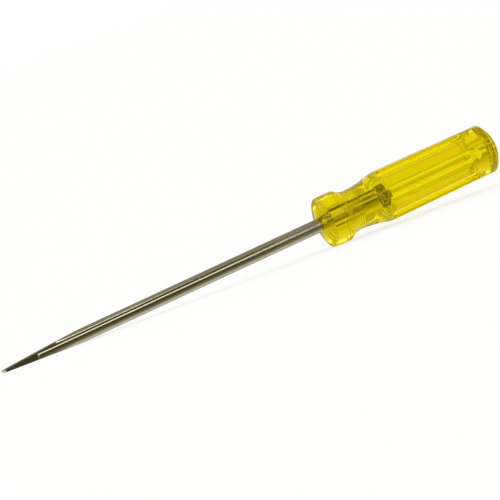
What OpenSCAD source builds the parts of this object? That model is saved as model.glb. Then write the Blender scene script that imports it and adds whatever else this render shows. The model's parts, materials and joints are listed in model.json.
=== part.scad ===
// Flathead screwdriver: a forged steel blade with a winged tang, in a fluted handle of clear yellow acetate.
// The tool's axis lies along X with the tip towards -X. The blade's broad faces look up and down, along Z.
// The origin is on the axis where the shank leaves the handle.

/* [Blade] */
// Length of the blade in front of the handle
blade_l = 150; // [80:1:300]
// Diameter of the round shank
shank_d = 5.8; // [4.8:0.1:7]
// Width of the ground tip
tip_w = 6; // [5:0.1:8]
// Thickness of the tip at its end
tip_t = 1; // [0.6:0.1:1.6]
// Length of the wedge that thins the bar down to the tip
wedge_l = 37; // [26:0.5:50]
// Length of the flats ground on the tip's two sides
side_l = 13; // [8:0.5:18]
// Radius of the curve where the grinding wheel lifts off the sides
wheel_r = 10.5; // [6:0.5:20]
// How far beyond the ground flats the forged bar spreads
forge_spread = 0.05; // [0.02:0.01:0.3]
// Length of plain wedge before the bar begins to spread
spread_lead = 4; // [2:0.5:8]

/* [Tang] */
// Depth of the tang inside the handle
tang_l = 32; // [24:0.5:40]
// Chamfer on the tang's end
tang_chamfer = 0.4; // [0.2:0.1:1.5]
// Length of the tang's end that is swaged flat against turning
wing_l = 3.6; // [2:0.1:8]
// How far the two swaged wings stand out from the bar
wing_rise = 0.5; // [0.2:0.05:1]
// Thickness between the two swaged flats
wing_t = 3.4; // [2.4:0.1:4.4]
// Gap between the tang and its socket
socket_gap = 0.03; // [0.02:0.01:0.1]

/* [Collar] */
// Diameter of the collar
collar_d = 21.9; // [20:0.1:26]
// Radius of the domed front
front_dome_r = 22; // [18:0.5:40]
// Rounding of the collar's front edge
front_edge_r = 1; // [0.5:0.1:3]
// Rounding of the collar's rear edge
rear_edge_r = 2; // [0.5:0.1:3]

/* [Neck] */
// Diameter of the neck at its narrowest
neck_d = 17.5; // [15:0.1:18.5]
// Distance of the narrowest place from the front
neck_x = 15.8; // [14:0.1:20]
// Radius of the hollow between the collar and the neck
neck_front_r = 7.3; // [6:0.1:10]
// Radius of the long hollow between the neck and the body
neck_rear_r = 44; // [30:1:60]
// Number of fine rings turned round the neck
ring_n = 6; // [1:1:8]
// Spacing of the rings
ring_pitch = 0.93; // [0.8:0.01:1.2]
// Distance of the first ring in front of the narrowest place
ring_lead = 3.1; // [1:0.1:3.4]
// Radius of each ring's groove
ring_r = 0.4; // [0.3:0.05:0.6]
// Depth of each ring's groove
ring_depth = 0.2; // [0.05:0.01:0.3]

/* [Body] */
// Length of the handle
handle_l = 84; // [76:0.5:120]
// Diameter of the body at its shoulder
body_d = 21.84; // [20:0.02:26]
// Taper of the body on each side, in degrees
body_taper = 0.7; // [0.2:0.1:1.5]
// Rounding of the shoulder
shoulder_r = 15; // [8:0.5:24]
// Radius of the domed butt
butt_dome_r = 15.3; // [13:0.1:24]
// Rounding of the butt's edge
butt_edge_r = 1; // [0.3:0.1:2]

/* [Flutes] */
// Number of flutes
flute_n = 6; // [4:1:8]
// Radius of the flute's hollow
flute_r = 3.8; // [3.4:0.1:6]
// Depth of the flutes
flute_depth = 2.3; // [1.4:0.1:2.6]
// Distance from the handle's front to the front end of the flutes
flute_start = 29.5; // [28:0.1:40]
// Distance from the rear end of the flutes to the end of the handle
flute_rear = 10.2; // [7:0.1:16]

/* [Hidden] */
$fn = 180;

// Reach of a cutter past the surface that it cuts
over = 1;

// Blade: places along the axis, and the spread of the forged bar
shank_r = shank_d / 2;
tip_x = -blade_l;
wedge_x = tip_x + wedge_l;
wedge_slope = (shank_d - tip_t) / 2 / wedge_l;
side_t = tip_t + 2 * wedge_slope * side_l;
spread_r = norm([tip_w, side_t]) / 2 + forge_spread;
spread_end_x = tip_x + side_l + wheel_r / 3;
spread_start_x = wedge_x - spread_lead;
wing_x = tang_l - wing_l;
wing_r = shank_r + wing_rise;

// Collar: the front dome passes through the edge of the shank's hole at x = 0
collar_r = collar_d / 2;
dome_x = sqrt(pow(front_dome_r, 2) - pow(shank_r, 2));
front_edge_cr = collar_r - front_edge_r;
front_edge_x = dome_x - sqrt(pow(front_dome_r - front_edge_r, 2) - pow(front_edge_cr, 2));
front_edge_top = front_edge_cr * front_dome_r / (front_dome_r - front_edge_r);

// Neck: two hollows that share their lowest point, the first tangent to the collar's rear edge
neck_r = neck_d / 2;
rear_edge_cr = collar_r - rear_edge_r;
rear_reach = neck_front_r + rear_edge_r;
rear_edge_x = neck_x - sqrt(pow(rear_reach, 2) - pow(neck_r + neck_front_r - rear_edge_cr, 2));
rear_share = rear_edge_r / rear_reach;
rear_join_x = rear_edge_x + rear_share * (neck_x - rear_edge_x);
rear_join_r = rear_edge_cr + rear_share * (neck_r + neck_front_r - rear_edge_cr);

// Shoulder: a round tangent to the long hollow and to the tapered body
shoulder_cr = body_d / 2 - shoulder_r;
shoulder_reach = neck_rear_r + shoulder_r;
shoulder_x = neck_x + sqrt(pow(shoulder_reach, 2) - pow(neck_r + neck_rear_r - shoulder_cr, 2));
shoulder_share = shoulder_r / shoulder_reach;
shoulder_join_x = shoulder_x - shoulder_share * (shoulder_x - neck_x);
shoulder_join_r = shoulder_cr + shoulder_share * (neck_r + neck_rear_r - shoulder_cr);
body_x = shoulder_x + shoulder_r * sin(body_taper);
body_r = shoulder_cr + shoulder_r * cos(body_taper);

// Butt: the edge's round lies inside the dome and under the body's tapered line
butt_x = handle_l - butt_dome_r;
edge_line_r = body_r + (body_x - butt_x) * tan(body_taper) - butt_edge_r / cos(body_taper);
edge_reach = butt_dome_r - butt_edge_r;
edge_dip = edge_line_r * sin(body_taper);
edge_step = sqrt(pow(edge_reach, 2) - pow(edge_line_r * cos(body_taper), 2));
butt_edge_cx = butt_x + (edge_dip + edge_step) * cos(body_taper);
butt_edge_cr = body_line(butt_edge_cx) - butt_edge_r / cos(body_taper);
butt_edge_x = butt_edge_cx + butt_edge_r * sin(body_taper);
butt_edge_top = butt_edge_cr * butt_dome_r / edge_reach;

// Flutes: the ball-nosed cutter's run-out, and the length between its two ball centres
flute_runout = sqrt(2 * flute_r * flute_depth - pow(flute_depth, 2));
flute_first_x = flute_start + flute_runout;
flute_last_x = handle_l - flute_rear - flute_runout;
flute_l = (flute_last_x - flute_first_x) / cos(body_taper);

// Radius of the body's tapered line at a place along the axis
function body_line(x) = body_r - (x - body_x) * tan(body_taper);

// Radius of the neck's two hollows at a place along the axis
function hollow_r(x) = x < neck_x ? neck_front_r : neck_rear_r;
function neck_line(x) = neck_r + hollow_r(x) - sqrt(pow(hollow_r(x), 2) - pow(neck_x - x, 2));

// Turns a flat outline, drawn with x along the tool and y as the radius, round the tool's axis
module turned() {
    rotate([0, 90, 0])
        rotate([0, 0, 180])
            rotate_extrude()
                mirror([1, -1])
                    children();
}

// A rectangle from the axis up to radius r, between two places along the axis
module disc_outline(x0, x1, r) {
    translate([x0, 0])
        square([x1 - x0, r]);
}

// Round bar with its forged spread and its swaged end, before the flats are cut
module bar_outline() {
    polygon([
        [tip_x, 0],
        [tip_x, spread_r],
        [spread_end_x, spread_r],
        [spread_start_x, shank_r],
        [wing_x - wing_rise, shank_r],
        [wing_x, wing_r],
        [tang_l - tang_chamfer, wing_r],
        [tang_l, wing_r - tang_chamfer],
        [tang_l, 0]
    ]);
}

// Cutter beside one swaged flat of the tang, with a slope of 45 degrees in front; grow widens it for the socket
module flat_cutter(grow) {
    top = wing_r + over;
    face_y = wing_t / 2 + grow;
    linear_extrude(height = 2 * top, center = true)
        polygon([
            [wing_x, face_y],
            [tang_l + over, face_y],
            [tang_l + over, top],
            [wing_x - (top - face_y), top]
        ]);
}

// Cutter above the upper broad face of the wedge
module wedge_cutter() {
    top = spread_r + over;
    face_z = tip_t / 2;
    rotate([90, 0, 0])
        linear_extrude(height = 2 * top, center = true)
            polygon([
                [tip_x - over, face_z - over * wedge_slope],
                [tip_x + (top - face_z) / wedge_slope, top],
                [tip_x - over, top]
            ]);
}

// Cutter beside one ground flat of the tip, with the wheel's round at its end
module side_cutter() {
    linear_extrude(height = 2 * (spread_r + over), center = true) {
        translate([tip_x - over, tip_w / 2])
            square([side_l + over, wheel_r]);
        translate([tip_x + side_l, tip_w / 2 + wheel_r])
            circle(r = wheel_r);
    }
}

// Outline of the handle from the domed front to the shoulder, with a core that runs on into the body
module front_outline() {
    disc_outline(front_edge_x, body_x + over, neck_r - over);
    intersection() {
        translate([dome_x, 0])
            circle(r = front_dome_r);
        disc_outline(0, rear_edge_x, front_edge_top);
    }
    translate([front_edge_x, front_edge_cr])
        circle(r = front_edge_r);
    disc_outline(front_edge_x, rear_edge_x, collar_r);
    translate([rear_edge_x, rear_edge_cr])
        circle(r = rear_edge_r);
    difference() {
        disc_outline(front_edge_x, neck_x, rear_join_r);
        translate([neck_x, neck_r + neck_front_r])
            circle(r = neck_front_r);
    }
    difference() {
        disc_outline(neck_x, shoulder_join_x, shoulder_join_r);
        translate([neck_x, neck_r + neck_rear_r])
            circle(r = neck_rear_r);
    }
}

// Outline of the handle from the shoulder to the domed butt
module body_outline() {
    intersection() {
        translate([shoulder_x, shoulder_cr])
            circle(r = shoulder_r);
        disc_outline(shoulder_join_x, body_x, body_d / 2);
    }
    polygon([
        [body_x, 0],
        [butt_edge_x, 0],
        [butt_edge_x, body_line(butt_edge_x)],
        [body_x, body_r]
    ]);
    translate([butt_edge_cx, butt_edge_cr])
        circle(r = butt_edge_r);
    intersection() {
        translate([butt_x, 0])
            circle(r = butt_dome_r);
        disc_outline(body_x, handle_l, butt_edge_top);
    }
}

// Outline of the flute's cutter, a straight run with ball ends, measured from the first ball's centre
module flute_outline() {
    intersection() {
        union() {
            disc_outline(0, flute_l, flute_r);
            circle(r = flute_r);
            translate([flute_l, 0])
                circle(r = flute_r);
        }
        disc_outline(-flute_r, flute_l + flute_r, flute_r);
    }
}

// One flute's cutter, above the body and parallel to its tapered side
module flute() {
    translate([flute_first_x, 0, body_line(flute_first_x)])
        rotate([0, body_taper, 0])
            translate([0, 0, flute_r - flute_depth])
                turned() flute_outline();
}

// Fine grooves turned round the neck
module rings() {
    for (i = [0 : ring_n - 1]) {
        x = neck_x - ring_lead + i * ring_pitch;
        turned()
            translate([x, neck_line(x) + ring_r - ring_depth])
                circle(r = ring_r, $fn = 24);
    }
}

// Outline of the blind socket, a little wider than the tang
module socket_outline() {
    polygon([
        [-over, 0],
        [-over, shank_r + socket_gap],
        [wing_x - wing_rise, shank_r + socket_gap],
        [wing_x, wing_r + socket_gap],
        [tang_l + socket_gap, wing_r + socket_gap],
        [tang_l + socket_gap, 0]
    ]);
}

// Blind socket that the tang fills
module socket() {
    difference() {
        turned() socket_outline();
        flat_cutter(socket_gap);
        mirror([0, 1, 0]) flat_cutter(socket_gap);
    }
}

module blade() {
    color("silver")
        difference() {
            turned() bar_outline();
            flat_cutter(0);
            mirror([0, 1, 0]) flat_cutter(0);
            wedge_cutter();
            mirror([0, 0, 1]) wedge_cutter();
            side_cutter();
            mirror([0, 1, 0]) side_cutter();
        }
}

module handle() {
    color([0.95, 0.82, 0.05, 0.6])
        difference() {
            turned() {
                front_outline();
                body_outline();
            }
            for (i = [0 : flute_n - 1])
                rotate([90 + i * 360 / flute_n, 0, 0]) flute();
            rings();
            socket();
        }
}

blade();
handle();
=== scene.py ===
"""Looks of the flathead screwdriver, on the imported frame: a clear yellow handle and a plated blade."""
import json
import math

import bpy
import numpy as np
from mathutils import Matrix, Vector


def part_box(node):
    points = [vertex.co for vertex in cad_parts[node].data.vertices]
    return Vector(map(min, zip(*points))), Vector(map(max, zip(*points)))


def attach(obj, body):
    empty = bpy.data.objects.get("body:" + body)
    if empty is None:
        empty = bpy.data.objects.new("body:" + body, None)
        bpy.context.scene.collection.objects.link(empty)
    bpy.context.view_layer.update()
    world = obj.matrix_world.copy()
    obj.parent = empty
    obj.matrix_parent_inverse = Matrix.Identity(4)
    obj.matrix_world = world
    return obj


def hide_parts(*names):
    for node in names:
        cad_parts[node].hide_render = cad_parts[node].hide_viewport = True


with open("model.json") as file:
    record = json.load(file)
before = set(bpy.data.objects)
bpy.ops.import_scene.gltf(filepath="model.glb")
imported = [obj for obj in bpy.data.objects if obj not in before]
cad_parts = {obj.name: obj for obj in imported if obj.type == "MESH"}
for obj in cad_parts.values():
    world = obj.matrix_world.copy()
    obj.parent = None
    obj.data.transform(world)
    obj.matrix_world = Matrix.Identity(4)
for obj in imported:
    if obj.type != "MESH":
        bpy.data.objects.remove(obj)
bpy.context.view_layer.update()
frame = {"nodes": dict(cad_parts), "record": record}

MM = 0.001

# Sizes of the handle, in millimetres, as in the part's source. Its length and collar come from the frame.
_, handle_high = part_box("handle")
blade_low, blade_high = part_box("blade")
HANDLE_L = handle_high.x / MM
COLLAR_R = min(handle_high.y, handle_high.z) / MM
BLADE_L = -blade_low.x / MM
TANG_L = blade_high.x / MM
SHANK_R = frame["record"]["mounts"][0]["dims"]["r_mm"]
TIP_T = 1.0
FRONT_DOME_R = 22.0
FRONT_EDGE_R = 1.0
REAR_EDGE_R = 2.0
NECK_R = 8.75
NECK_X = 15.8
NECK_FRONT_R = 7.3
NECK_REAR_R = 44.0
RING_N = 6
RING_PITCH = 0.93
RING_LEAD = 3.1
RING_R = 0.4
RING_DEPTH = 0.2
BODY_R = 10.92
BODY_TAPER = math.radians(0.7)
SHOULDER_R = 15.0
BUTT_DOME_R = 15.3
BUTT_EDGE_R = 1.0
FLUTE_N = 6
FLUTE_R = 3.8
FLUTE_DEPTH = 2.3
FLUTE_START = 29.5
FLUTE_REAR = 10.2
FLUTE_RUNOUT = math.sqrt(2 * FLUTE_R * FLUTE_DEPTH - FLUTE_DEPTH**2)  # length of a flute's ball end
FLUTE_EDGE = 0.5  # how widely a flute's edge is rounded over
FLUTE_FADE = 0.3  # how much wider that grows along the flute's run-out
FLUTE_LEAD = 0.5  # how far before a flute's start its rounding may begin
FLUTE_TRAIL = 0.4  # how far past its end the rounding may go
NO_FLUTE = 1.0  # how far a flute's floor stands clear where there is no flute

# Fineness of the handle's mesh: steps of its arcs, rows along its length and columns of half a flute
DOME_STEPS = 20
EDGE_STEPS = 10
SHOULDER_STEPS = 24
BUTT_EDGE_STEPS = 8
BUTT_STEPS = 24
COLLAR_ROWS = 4
HOLLOW_ROWS = 30
RING_ROWS = 96
FLARE_ROWS = 40
FRONT_ROWS = 14
FLUTE_ROWS = 9
RUNOUT_ROWS = 30
REAR_ROWS = 6
RUNOUT_MARGIN = 0.6
FLOOR_COLUMNS = 13
EDGE_COLUMNS = 15
LAND_COLUMNS = 7
EDGE_SPAN = math.radians(3.5)  # how far the close columns reach on either side of a flute's edge

# The photograph: image size, and where the tool lies in it
IMAGE_PX = 500
FIELD_MM = 206.6  # width of the view at the tool
FRONT_PX = (318.94, 225.47)  # pixel of the handle's front on the axis
AXIS_RISE = math.radians(24.86)  # how steeply the tool's axis climbs across the picture
TURN = math.radians(18.0)  # how far the camera stands towards the tip
LIFT = math.radians(4.0)  # how far it stands above the plane of the blade
CAMERA_M = 6.0
SENSOR_MM = 36
VIEW_END_M = 20


def link(obj):
    bpy.context.scene.collection.objects.link(obj)
    return obj


# Handle

def arc(centre_x, centre_r, radius, start, end, steps):
    """Points of an arc in the (x, r) plane; angles in radians from +x towards +r."""
    angles = np.linspace(start, end, steps + 1)
    return np.stack([centre_x + radius * np.cos(angles), centre_r + radius * np.sin(angles)], 1)


def neck_line(x):
    hollow = np.where(x < NECK_X, NECK_FRONT_R, NECK_REAR_R)
    return NECK_R + hollow - np.sqrt(hollow**2 - (NECK_X - x) ** 2)


def handle_profile():
    """Outline of the handle from the shank's hole to the butt, as points (x, r), and its body's line."""
    half = math.pi / 2
    dome_x = math.sqrt(FRONT_DOME_R**2 - SHANK_R**2)
    edge_r = COLLAR_R - FRONT_EDGE_R
    edge_x = dome_x - math.sqrt((FRONT_DOME_R - FRONT_EDGE_R) ** 2 - edge_r**2)
    dome_end = math.pi - math.asin(edge_r / (FRONT_DOME_R - FRONT_EDGE_R))
    dome_start = math.pi - math.asin(SHANK_R / FRONT_DOME_R)
    rear_r = COLLAR_R - REAR_EDGE_R
    rear_x = NECK_X - math.sqrt((NECK_FRONT_R + REAR_EDGE_R) ** 2 - (NECK_R + NECK_FRONT_R - rear_r) ** 2)
    rear_end = math.atan2(NECK_R + NECK_FRONT_R - rear_r, NECK_X - rear_x)
    rear_join = rear_x + REAR_EDGE_R * math.cos(rear_end)
    shoulder_r = BODY_R - SHOULDER_R
    reach = NECK_REAR_R + SHOULDER_R
    shoulder_x = NECK_X + math.sqrt(reach**2 - (NECK_R + NECK_REAR_R - shoulder_r) ** 2)
    shoulder_start = math.atan2(NECK_R + NECK_REAR_R - shoulder_r, NECK_X - shoulder_x)
    shoulder_join = shoulder_x + SHOULDER_R * math.cos(shoulder_start)
    body_x = shoulder_x + SHOULDER_R * math.sin(BODY_TAPER)
    body_r = shoulder_r + SHOULDER_R * math.cos(BODY_TAPER)
    slope = math.tan(BODY_TAPER)

    def body_line(x):
        return body_r - (x - body_x) * slope

    butt_x = HANDLE_L - BUTT_DOME_R
    inner = body_line(butt_x) - BUTT_EDGE_R / math.cos(BODY_TAPER)
    step = math.sqrt((BUTT_DOME_R - BUTT_EDGE_R) ** 2 - (inner * math.cos(BODY_TAPER)) ** 2)
    butt_edge_x = butt_x + (inner * math.sin(BODY_TAPER) + step) * math.cos(BODY_TAPER)
    butt_edge_r = body_line(butt_edge_x) - BUTT_EDGE_R / math.cos(BODY_TAPER)
    butt_angle = math.atan2(butt_edge_r, butt_edge_x - butt_x)
    ring_first = NECK_X - RING_LEAD
    ring_last = ring_first + (RING_N - 1) * RING_PITCH
    rings_x = np.linspace(ring_first - 2 * RING_R, ring_last + 2 * RING_R, RING_ROWS)
    hollow_x = np.linspace(rear_join, rings_x[0], HOLLOW_ROWS)[:-1]
    flare_x = np.linspace(rings_x[-1], shoulder_join, FLARE_ROWS)[1:]
    neck_x = np.concatenate([hollow_x, rings_x, flare_x])
    neck_r = neck_line(neck_x)
    for i in range(RING_N):
        ring_x = ring_first + i * RING_PITCH
        ring_r = neck_line(np.array(ring_x)) + RING_R - RING_DEPTH
        inside = np.clip(RING_R**2 - (neck_x - ring_x) ** 2, 0, None)
        groove = np.where(inside > 0, ring_r - np.sqrt(inside), neck_r)
        neck_r = np.minimum(neck_r, groove)
    flute_end = HANDLE_L - FLUTE_REAR
    even_from = FLUTE_START + FLUTE_RUNOUT + RUNOUT_MARGIN
    even_to = flute_end - FLUTE_RUNOUT - RUNOUT_MARGIN
    body_end = butt_edge_x + BUTT_EDGE_R * math.sin(BODY_TAPER)
    body_rows = np.concatenate([
        np.linspace(body_x, even_from, FRONT_ROWS),
        np.linspace(even_from, even_to, FLUTE_ROWS)[1:],
        np.linspace(even_to, flute_end + FLUTE_TRAIL, RUNOUT_ROWS)[1:],
        np.linspace(flute_end + FLUTE_TRAIL, body_end, REAR_ROWS)[1:],
    ])
    parts = [
        arc(dome_x, 0, FRONT_DOME_R, dome_start, dome_end, DOME_STEPS),
        arc(edge_x, edge_r, FRONT_EDGE_R, dome_end, half, EDGE_STEPS)[1:],
        np.stack([np.linspace(edge_x, rear_x, COLLAR_ROWS + 2)[1:-1], np.full(COLLAR_ROWS, COLLAR_R)], 1),
        arc(rear_x, rear_r, REAR_EDGE_R, half, rear_end, EDGE_STEPS)[:-1],
        np.stack([neck_x, neck_r], 1)[:-1],
        arc(shoulder_x, shoulder_r, SHOULDER_R, shoulder_start, half - BODY_TAPER, SHOULDER_STEPS)[:-1],
        np.stack([body_rows, body_line(body_rows)], 1),
        arc(butt_edge_x, butt_edge_r, BUTT_EDGE_R, half - BODY_TAPER, butt_angle, BUTT_EDGE_STEPS)[1:],
        arc(butt_x, 0, BUTT_DOME_R, butt_angle, 0, BUTT_STEPS)[1:],
    ]
    return np.concatenate(parts), body_line


def flute_angles():
    """Columns of one sixth of the handle, to either side of a flute's middle, closer at its edges."""
    reach = BODY_R - FLUTE_DEPTH + FLUTE_R
    edge = math.acos((BODY_R**2 + reach**2 - FLUTE_R**2) / (2 * BODY_R * reach))
    sixth = math.pi / FLUTE_N
    inner = edge - EDGE_SPAN
    outer = edge + EDGE_SPAN
    half = np.concatenate([
        np.linspace(0, inner, FLOOR_COLUMNS),
        np.linspace(inner, outer, EDGE_COLUMNS)[1:],
        np.linspace(outer, sixth, LAND_COLUMNS)[1:],
    ])
    return np.concatenate([-half[:0:-1], half[:-1]])


def smooth_lower(a, b, width):
    """The lower of two surfaces, with the edge between them rounded over that width."""
    share = np.clip(0.5 + 0.5 * (b - a) / width, 0, 1)
    return b + (a - b) * share - width * share * (1 - share)


def handle_mesh():
    profile, body_line = handle_profile()
    x, r = profile[:, :1], profile[:, 1:]
    angles = flute_angles()
    first = FLUTE_START + FLUTE_RUNOUT
    last = HANDLE_L - FLUTE_REAR - FLUTE_RUNOUT
    axis = body_line(x) + (FLUTE_R - FLUTE_DEPTH) / math.cos(BODY_TAPER)
    beyond = np.maximum(np.maximum(first - x, x - last), 0)
    root = FLUTE_R**2 - beyond**2 - (axis * np.sin(angles)) ** 2
    floor = axis * np.cos(angles) - np.sqrt(np.clip(root, 0, None))
    floor = np.where(root > 0, floor, r + NO_FLUTE)
    sector = smooth_lower(np.broadcast_to(r, floor.shape), floor, FLUTE_EDGE + FLUTE_FADE * beyond)
    fluted = (x > FLUTE_START - FLUTE_LEAD) & (x < HANDLE_L - FLUTE_REAR + FLUTE_TRAIL)
    sector = np.where(fluted, sector, r)
    columns = len(angles) * FLUTE_N
    around = np.concatenate([angles + 2 * math.pi * i / FLUTE_N for i in range(FLUTE_N)])
    radius = np.tile(sector, (1, FLUTE_N))[:-1]
    rows = len(radius)
    points = np.stack([
        np.broadcast_to(x[:-1], radius.shape),
        radius * np.cos(around),
        radius * np.sin(around),
    ], -1).reshape(-1, 3)
    apex = [[HANDLE_L, 0, 0]]
    nose = [[x[0, 0], 0, 0]]
    points = np.concatenate([points, apex, nose]) * MM
    row, column = np.meshgrid(np.arange(rows - 1), np.arange(columns), indexing="ij")
    after = (column + 1) % columns
    quads = np.stack([
        row * columns + column,
        row * columns + after,
        (row + 1) * columns + after,
        (row + 1) * columns + column,
    ], -1).reshape(-1, 4).tolist()
    end = (rows - 1) * columns
    caps = [(end + i, end + (i + 1) % columns, rows * columns) for i in range(columns)]
    caps += [((i + 1) % columns, i, rows * columns + 1) for i in range(columns)]
    mesh = bpy.data.meshes.new("acetate_handle")
    mesh.from_pydata(points.tolist(), [], quads + caps)
    mesh.shade_smooth()
    mesh.validate()
    return mesh


handle = link(bpy.data.objects.new("acetate_handle", handle_mesh()))
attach(handle, "root")
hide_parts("handle")
blade = frame["nodes"]["blade"]


# Materials

GROUND_L = 14.5  # how far from the tip the ground flats and their run-out reach, in millimetres
GROUND_X = (-BLADE_L + GROUND_L) * MM
GROUND_FADE = 2 * MM
SWAGED_L = 3.6  # length of the tang's swaged end, in millimetres
SWAGED_X = (TANG_L - SWAGED_L) * MM
SWAGED_FADE = 0.3 * MM
ACETATE = (0.95, 0.77, 0.004)
ACETATE_GLINT = (1, 0.92, 0.2)
ACETATE_IOR = 1.48
ACETATE_DEEP = (0.975, 0.972, 0.3)  # colour that light keeps on its way through
ACETATE_DENSITY = 150
ACETATE_WAVE = 0.000004  # height of the handle's waviness
PLATE_PALE = (0.65, 0.62, 0.53)
PLATE_STAINED = (0.6, 0.57, 0.47)
BARE_STEEL = (0.6, 0.56, 0.49)
# Roughness of the steel, by millimetres along the axis: worn dull before the handle, wetted inside it
POLISH = (
    (-150, 0.06), (-60, 0.09), (-35, 0.16), (-8, 0.3), (-1, 0.3), (1, 0), (28, 0), (29, 0.3), (32, 0.3),
)
SCALE_DARK = (0.25, 0.24, 0.14)  # scale left on the swaged end
SCALE_PALE = (0.8, 0.78, 0.5)
STEEL_RELIEF = 0.0000012  # height of the drawing and grinding marks
# Surface marks: the scale of their noise for each metre, and what they do
HAZE_SCALE = 900
HAZE_ROUGHNESS = (0.02, 0.06)  # where the handle is clear, and where it is hazy
WAVE_SCALE = 160
WAVE_STRETCH = (0.4, 1, 1)
STAIN_SCALE = 90
MOTTLE_SCALE = 1100
DRAWN_SCALE = 2600
DRAWN_STRETCH = (0.02, 1, 1)  # marks along the bar
DRAWN_ROUGHNESS = 0.1
DRAWN_HEIGHT = 0.5  # share of the relief's full height
GRIND_SCALE = 5200
GRIND_STRETCH = (1, 0.04, 0.04)  # marks across the tip
GRIND_ROUGHNESS = 0.08


def new_material(name):
    material = bpy.data.materials.new(name)
    material.use_nodes = True
    tree = material.node_tree
    return material, tree, tree.nodes["Principled BSDF"]


def noise(tree, scale, detail, stretch=(1, 1, 1)):
    """Noise in the object's own coordinates, in metres, stretched along its axes."""
    place = tree.nodes.new("ShaderNodeTexCoord")
    mapping = tree.nodes.new("ShaderNodeMapping")
    mapping.inputs["Scale"].default_value = stretch
    texture = tree.nodes.new("ShaderNodeTexNoise")
    texture.inputs["Scale"].default_value = scale
    texture.inputs["Detail"].default_value = detail
    tree.links.new(place.outputs["Object"], mapping.inputs["Vector"])
    tree.links.new(mapping.outputs["Vector"], texture.inputs["Vector"])
    return texture.outputs["Fac"]


def spread(tree, socket, low, high, start=0.0, end=1.0):
    """A value between start and end spread between low and high, and held beyond them."""
    node = tree.nodes.new("ShaderNodeMapRange")
    node.inputs["From Min"].default_value = start
    node.inputs["From Max"].default_value = end
    node.inputs["To Min"].default_value = low
    node.inputs["To Max"].default_value = high
    tree.links.new(socket, node.inputs["Value"])
    return node.outputs["Result"]


def along_axis(tree):
    """Place along the tool's axis, in metres."""
    place = tree.nodes.new("ShaderNodeTexCoord")
    split = tree.nodes.new("ShaderNodeSeparateXYZ")
    tree.links.new(place.outputs["Object"], split.inputs[0])
    return split.outputs["X"]


def combine(tree, operation, first, second):
    """Two values joined by a mathematical operation; the second may be a plain number."""
    node = tree.nodes.new("ShaderNodeMath")
    node.operation = operation
    tree.links.new(first, node.inputs[0])
    if isinstance(second, (int, float)):
        node.inputs[1].default_value = second
    else:
        tree.links.new(second, node.inputs[1])
    return node.outputs[0]


def blend(tree, share, first, second, way="MIX"):
    """A colour between two others, or their product or sum; each is a socket or a plain colour."""
    node = tree.nodes.new("ShaderNodeMixRGB")
    node.blend_type = way
    if isinstance(share, (int, float)):
        node.inputs[0].default_value = share
    else:
        tree.links.new(share, node.inputs[0])
    for socket, colour in zip(node.inputs[1:], (first, second)):
        if isinstance(colour, tuple):
            socket.default_value = (*colour, 1)
        else:
            tree.links.new(colour, socket)
    return node.outputs["Color"]


def neutral(level):
    return level, level, level


def warm(level):
    """Colour of a place in the studio: its dark places are brown, its bright ones nearly white."""
    share = 1 - math.exp(-TINT_LOSS * level)
    green = DARK_GREEN + (1 - DARK_GREEN) * share
    blue = DARK_BLUE + (1 - DARK_BLUE) * share
    return level, level * green, level * blue


def graded(tree, socket, stops, tint=neutral):
    """A level that follows a value through the given stops, each a place and the level there, as a colour."""
    first = stops[0][0]
    reach = stops[-1][0] - first
    ramp = tree.nodes.new("ShaderNodeValToRGB")
    elements = ramp.color_ramp.elements
    for i, (place, level) in enumerate(stops):
        at = (place - first) / reach
        element = elements[i] if i < 2 else elements.new(at)
        element.position = at
        element.color = (*tint(level), 1)
    tree.links.new(spread(tree, socket, 0, 1, first, first + reach), ramp.inputs["Fac"])
    return ramp.outputs["Color"]


def bump(tree, height, depth_m):
    """Fine relief whose full height is the given depth."""
    node = tree.nodes.new("ShaderNodeBump")
    node.inputs["Strength"].default_value = 1.0
    node.inputs["Distance"].default_value = depth_m
    tree.links.new(height, node.inputs["Height"])
    return node.outputs["Normal"]


def acetate():
    """Clear yellow acetate: faintly wavy from polishing, with a slight haze in patches."""
    material, tree, shader = new_material("clear_yellow_acetate")
    shader.inputs["Base Color"].default_value = (*ACETATE, 1)
    shader.inputs["Specular Tint"].default_value = (*ACETATE_GLINT, 1)
    shader.inputs["Transmission Weight"].default_value = 1.0
    shader.inputs["IOR"].default_value = ACETATE_IOR
    haze = noise(tree, HAZE_SCALE, 3)
    tree.links.new(spread(tree, haze, *HAZE_ROUGHNESS, 0.3, 0.7), shader.inputs["Roughness"])
    waves = noise(tree, WAVE_SCALE, 2, WAVE_STRETCH)
    tree.links.new(bump(tree, waves, ACETATE_WAVE), shader.inputs["Normal"])
    absorption = tree.nodes.new("ShaderNodeVolumeAbsorption")
    absorption.inputs["Color"].default_value = (*ACETATE_DEEP, 1)
    absorption.inputs["Density"].default_value = ACETATE_DENSITY
    tree.links.new(absorption.outputs["Volume"], tree.nodes["Material Output"].inputs["Volume"])
    return material


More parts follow.
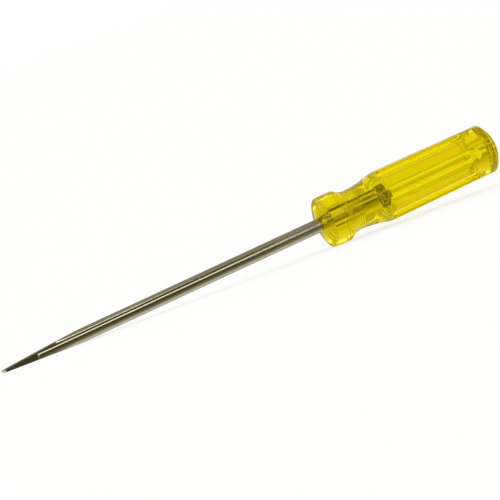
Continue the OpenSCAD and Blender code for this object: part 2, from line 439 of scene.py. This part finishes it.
def plated_steel():
    """Nickel plate over drawn bar, worn to bare steel on the ground tip, and left dark on the swaged end."""
    material, tree, shader = new_material("plated_steel")
    shader.inputs["Metallic"].default_value = 1.0
    x = along_axis(tree)
    stains = spread(tree, noise(tree, STAIN_SCALE, 4), 0, 1, 0.35, 0.7)
    colour = blend(tree, stains, PLATE_PALE, PLATE_STAINED)
    ground = spread(tree, x, 1, 0, GROUND_X - GROUND_FADE, GROUND_X + GROUND_FADE)
    colour = blend(tree, ground, colour, BARE_STEEL)
    swaged = spread(tree, x, 0, 1, SWAGED_X - SWAGED_FADE, SWAGED_X + SWAGED_FADE)
    mottle = spread(tree, noise(tree, MOTTLE_SCALE, 3), 0, 1, 0.4, 0.65)
    colour = blend(tree, swaged, colour, blend(tree, mottle, SCALE_DARK, SCALE_PALE))
    tree.links.new(colour, shader.inputs["Base Color"])
    drawn = noise(tree, DRAWN_SCALE, 4, DRAWN_STRETCH)
    grind = noise(tree, GRIND_SCALE, 3, GRIND_STRETCH)
    polish = graded(tree, combine(tree, "DIVIDE", x, MM), POLISH)
    rough = combine(tree, "ADD", polish, spread(tree, drawn, 0, DRAWN_ROUGHNESS))
    ground_rough = combine(tree, "MULTIPLY", ground, spread(tree, grind, 0, GRIND_ROUGHNESS))
    tree.links.new(combine(tree, "ADD", rough, ground_rough), shader.inputs["Roughness"])
    ground_relief = combine(tree, "MULTIPLY", ground, grind)
    relief = combine(tree, "ADD", spread(tree, drawn, 0, DRAWN_HEIGHT), ground_relief)
    tree.links.new(bump(tree, relief, STEEL_RELIEF), shader.inputs["Normal"])
    return material


def dress(piece, material):
    piece.data.materials.clear()
    piece.data.materials.append(material)


dress(handle, acetate())
dress(blade, plated_steel())


# Camera: a long lens, turned so that the tool's axis climbs across the picture as in the photograph

towards = Vector((-math.sin(TURN), -math.cos(TURN) * math.cos(LIFT), math.cos(TURN) * math.sin(LIFT)))
along = (Vector((1, 0, 0)) - towards.x * towards).normalized()
across = towards.cross(along)
right = math.cos(AXIS_RISE) * along - math.sin(AXIS_RISE) * across
up = math.sin(AXIS_RISE) * along + math.cos(AXIS_RISE) * across
px = FIELD_MM * MM / IMAGE_PX
aim = (IMAGE_PX / 2 - FRONT_PX[0]) * px * right - (IMAGE_PX / 2 - FRONT_PX[1]) * px * up
camera = link(bpy.data.objects.new("camera", bpy.data.cameras.new("camera")))
facing = Matrix((right, up, towards)).transposed().to_4x4()
camera.matrix_world = Matrix.Translation(aim + towards * CAMERA_M) @ facing
camera.data.sensor_width = SENSOR_MM
camera.data.lens = SENSOR_MM * CAMERA_M / (FIELD_MM * MM)
camera.data.clip_end = VIEW_END_M
bpy.context.scene.camera = camera


# Studio: the tool leans on its tip and its collar on a white floor

COLLAR_X = 6.0  # where the collar touches the floor
lean = math.atan2(COLLAR_R - TIP_T / 2, BLADE_L + COLLAR_X)
floor_normal = Vector((math.sin(lean), 0, math.cos(lean)))
tip_low = Vector((blade_low.x, 0, -TIP_T / 2 * MM))
FLOOR_M = 4.0
FLOOR_TONE = 0.35
FLOOR_ROUGHNESS = 0.9
floor_mesh = bpy.data.meshes.new("floor")
side = Vector((0, 1, 0))
forward = side.cross(floor_normal)
corners = [tip_low + FLOOR_M * (a * forward + b * side) for a, b in ((-1, -1), (-1, 1), (1, 1), (1, -1))]
floor_mesh.from_pydata(corners, [], [(0, 1, 2, 3)])
floor = link(bpy.data.objects.new("floor", floor_mesh))
floor.visible_glossy = False
floor.visible_transmission = False


def floor_material():
    """White floor that glows a little, so that it is white in the light and keeps the tool's shadow."""
    material, _, shader = new_material("white_floor")
    shader.inputs["Base Color"].default_value = (*neutral(FLOOR_TONE), 1)
    shader.inputs["Roughness"].default_value = FLOOR_ROUGHNESS
    shader.inputs["Emission Color"].default_value = (1, 1, 1, 1)
    shader.inputs["Emission Strength"].default_value = 1 - FLOOR_TONE
    return material


dress(floor, floor_material())

# How the studio's dark places are tinted, and how soon its brighter ones lose that tint
DARK_GREEN = 0.84
DARK_BLUE = 0.2
TINT_LOSS = 2.7
# The studio as the metal sees it: degrees round the tool's axis above the camera's direction, and the level
METAL_STUDIO = (
    (-180, 0.22), (-170, 0.18), (-155, 0.22), (-130, 0.6), (-118, 0.78), (-91, 0.64), (-70, 0.34),
    (-51, 0.19), (-33, 0.11), (-12, 0.06), (-5, 0.06), (2, 0.3), (9, 0.35), (13, 2.0), (18.5, 2.0),
    (22.5, 0.12), (33, 0.09), (51, 0.1), (70, 0.3), (118, 0.36), (145, 0.18), (148, 1.1), (153, 1.1),
    (156, 0.18), (165, 0.16), (180, 0.22),
)
# The same for light that the tang or the inside of the handle throws back, square to the tool
INNER_SQUARE = (
    (-180, 1.1), (-165, 1.2), (-155, 1.35), (-140, 1.05), (-125, 0.65), (-112, 0.45), (-104, 0.5),
    (-92, 1.1), (-82, 1.36), (-68, 1.28), (-60, 0.95), (-54, 0.55), (-45, 0.34), (-35, 0.38), (-25, 0.58),
    (-15, 0.72), (-3, 0.62), (5, 0.62), (13, 0.85), (24, 1.02), (45, 1.0), (60, 1.0), (70, 1.15),
    (80, 1.5), (90, 1.36), (98, 0.9), (108, 0.32), (120, 0.25), (142, 0.28), (155, 0.28), (165, 0.5),
    (180, 1.1),
)
# The same again for what it throws back aside, towards the tip or the butt
INNER_ASIDE = (
    (-180, 1.1), (-150, 1.25), (-126, 1.18), (-108, 1.1), (-91, 0.95), (-76, 0.75), (-55, 0.6),
    (-41, 0.64), (-26, 0.5), (-13, 0.32), (-5, 0.21), (3, 0.23), (9, 0.36), (15, 0.75), (22, 1.02),
    (28, 0.98), (35, 0.68), (45, 0.36), (58, 0.28), (68, 0.36), (78, 0.6), (88, 0.92), (100, 1.15),
    (110, 1.0), (122, 0.58), (135, 0.3), (150, 0.24), (165, 0.25), (180, 0.4),
)
# And for what it throws back farther aside still
INNER_FAR = (
    (-180, 1.0), (-125, 1.05), (-110, 0.85), (-95, 0.66), (-80, 0.56), (-65, 0.58), (-50, 0.49),
    (-35, 0.45), (-20, 0.55), (-2, 0.78), (15, 1.05), (30, 1.3), (45, 1.28), (60, 0.95), (75, 0.5),
    (95, 0.22), (115, 0.28), (135, 0.5), (180, 1.0),
)
# The studio as it shows through the clear handle: degrees above the horizon, on either side of the tool
CLEAR_STUDIO = (
    (-90, 0.65), (-70, 0.4), (-60, 0.65), (-54, 0.9), (-48, 1.45), (-43, 0.9), (-30, 0.95), (-22, 0.88),
    (-19, 0.6), (-15, 0.67), (-13.5, 0.83), (-11.3, 0.83), (-10.2, 0.66), (-9.3, 0.66), (-8.3, 0.85),
    (-5.5, 0.85), (-4, 0.45), (-1, 0.45), (0.8, 0.97), (3.5, 0.97), (6, 0.45), (9, 0.45), (13, 0.6),
    (19, 0.68), (24, 0.8), (36, 0.9), (45, 0.95), (51, 1.5), (60, 1.6), (72, 1.3), (90, 0.95),
)
# How that changes away from square to the tool: degrees off square, on either side, and the factor there
OFF_SQUARE = (
    (0, 1), (20.5, 1), (23, 0.86), (34, 0.86), (37, 1), (41, 1.15), (46, 1.15), (54, 0.85), (62, 0.7),
    (90, 0.7),
)
# The same high above and far below the tool, where dark screens stand
SCREENS = (
    (0, 1), (21.5, 1), (25, 0.6), (34, 0.6), (37, 1), (41, 1.15), (46, 1.15), (54, 0.85), (62, 0.7),
    (90, 0.7),
)
# Share of the screens, by degrees above or below the horizon
SCREEN_HEIGHT = ((0, 0), (15, 0), (26, 1), (90, 1))
# Share of light thrown back aside rather than square, by degrees off square on either side
ASIDE = ((0, 0), (21, 0), (26, 1), (90, 1))
# Share of what is thrown back farther aside still, by the same degrees
FAR_ASIDE = ((0, 0), (35, 0), (42, 1), (90, 1))
# Share of it thrown back towards the tip, by degrees off square towards the butt, and the level there
TIPWARD = ((-90, 1), (-16, 1), (-8, 0), (90, 0))
TIPWARD_LEVEL = 0.85
# A lit card beyond the tip: degrees off square towards the butt, and the level that it adds on metal
TIP_CARD = ((-90, 0), (-24, 0), (-21, 0.9), (-10.5, 0.9), (-9, 0), (90, 0))
# How much of the card stands at each angle round the tool's axis, above the camera's direction
TIP_CARD_HEIGHT = (
    (-180, 0.6), (-171, 0.6), (-165, 0), (-24, 0), (-18, 1), (10, 1), (16, 0), (165, 0), (171, 0.6),
    (180, 0.6),
)
# Share of a plain level towards the tool's ends, by degrees off square on either side
ENDS = ((0, 0), (48, 0), (58, 1), (90, 1))
ENDS_LEVEL = 0.28
DEGREE = math.radians(1)


def studio_world():
    world = bpy.data.worlds.new("studio")
    bpy.context.scene.world = world
    world.use_nodes = True
    world.cycles.sampling_method = "NONE"
    tree = world.node_tree
    place = tree.nodes.new("ShaderNodeTexCoord")
    turn = tree.nodes.new("ShaderNodeVectorRotate")
    turn.rotation_type = "X_AXIS"
    turn.inputs["Angle"].default_value = LIFT
    split = tree.nodes.new("ShaderNodeSeparateXYZ")
    path = tree.nodes.new("ShaderNodeLightPath")
    tree.links.new(place.outputs["Generated"], turn.inputs["Vector"])
    tree.links.new(turn.outputs["Vector"], split.inputs[0])
    towards_camera = combine(tree, "MULTIPLY", split.outputs["Y"], -1)
    to_either_side = combine(tree, "ABSOLUTE", split.outputs["Y"], 0)
    angle = combine(tree, "DIVIDE", combine(tree, "ARCTAN2", split.outputs["Z"], towards_camera), DEGREE)
    rise = combine(tree, "DIVIDE", combine(tree, "ARCTAN2", split.outputs["Z"], to_either_side), DEGREE)
    off_square = combine(tree, "DIVIDE", combine(tree, "ARCSINE", split.outputs["X"], 0), DEGREE)
    aside = combine(tree, "ABSOLUTE", off_square, 0)
    card_height = graded(tree, angle, TIP_CARD_HEIGHT)
    card = blend(tree, 1, graded(tree, off_square, TIP_CARD), card_height, "MULTIPLY")
    metal = blend(tree, 1, graded(tree, angle, METAL_STUDIO, warm), card, "ADD")
    metal = blend(tree, graded(tree, aside, ENDS), metal, warm(ENDS_LEVEL))
    inner = graded(tree, angle, INNER_SQUARE)
    inner = blend(tree, graded(tree, aside, ASIDE), inner, graded(tree, angle, INNER_ASIDE))
    inner = blend(tree, graded(tree, aside, FAR_ASIDE), inner, graded(tree, angle, INNER_FAR))
    inner = blend(tree, graded(tree, off_square, TIPWARD), inner, neutral(TIPWARD_LEVEL))
    height = graded(tree, combine(tree, "ABSOLUTE", rise, 0), SCREEN_HEIGHT)
    screens = blend(tree, height, graded(tree, aside, OFF_SQUARE), graded(tree, aside, SCREENS))
    clear = blend(tree, 1, graded(tree, rise, CLEAR_STUDIO), screens, "MULTIPLY")
    through = blend(tree, combine(tree, "MINIMUM", path.outputs["Glossy Depth"], 1), clear, inner)
    seen = blend(tree, path.outputs["Is Diffuse Ray"], metal, (1, 1, 1))
    seen = blend(tree, path.outputs["Is Transmission Ray"], seen, through)
    seen = blend(tree, path.outputs["Is Camera Ray"], seen, (1, 1, 1))
    tree.links.new(seen, tree.nodes["Background"].inputs["Color"])


studio_world()

# A near strip lamp over the tool's front half, which only shining surfaces show
LAMP_M = (-0.012, -0.186, 0.437)
LAMP_LONG_M = 0.175
LAMP_WIDE_M = 0.08
LAMP_W = 0.11
LAMP_COLOUR = (1, 0.93, 0.72)
lamp = link(bpy.data.objects.new("strip_lamp", bpy.data.lights.new("strip_lamp", "AREA")))
lamp.data.shape = "RECTANGLE"
lamp.data.size = LAMP_LONG_M
lamp.data.size_y = LAMP_WIDE_M
lamp.data.energy = LAMP_W
lamp.data.color = LAMP_COLOUR
lamp_tilt = math.atan2(LAMP_M[1], LAMP_M[2])
lamp.matrix_world = Matrix.Translation(LAMP_M) @ Matrix.Rotation(lamp_tilt, 4, "X")
lamp.visible_camera = False
lamp.visible_diffuse = False
lamp.visible_transmission = False

bpy.context.scene.view_settings.view_transform = "Standard"
BOUNCES = 24  # enough for light to find its way out of the handle
bpy.context.scene.cycles.max_bounces = BOUNCES
bpy.context.scene.cycles.transmission_bounces = BOUNCES
bpy.context.scene.cycles.glossy_bounces = BOUNCES
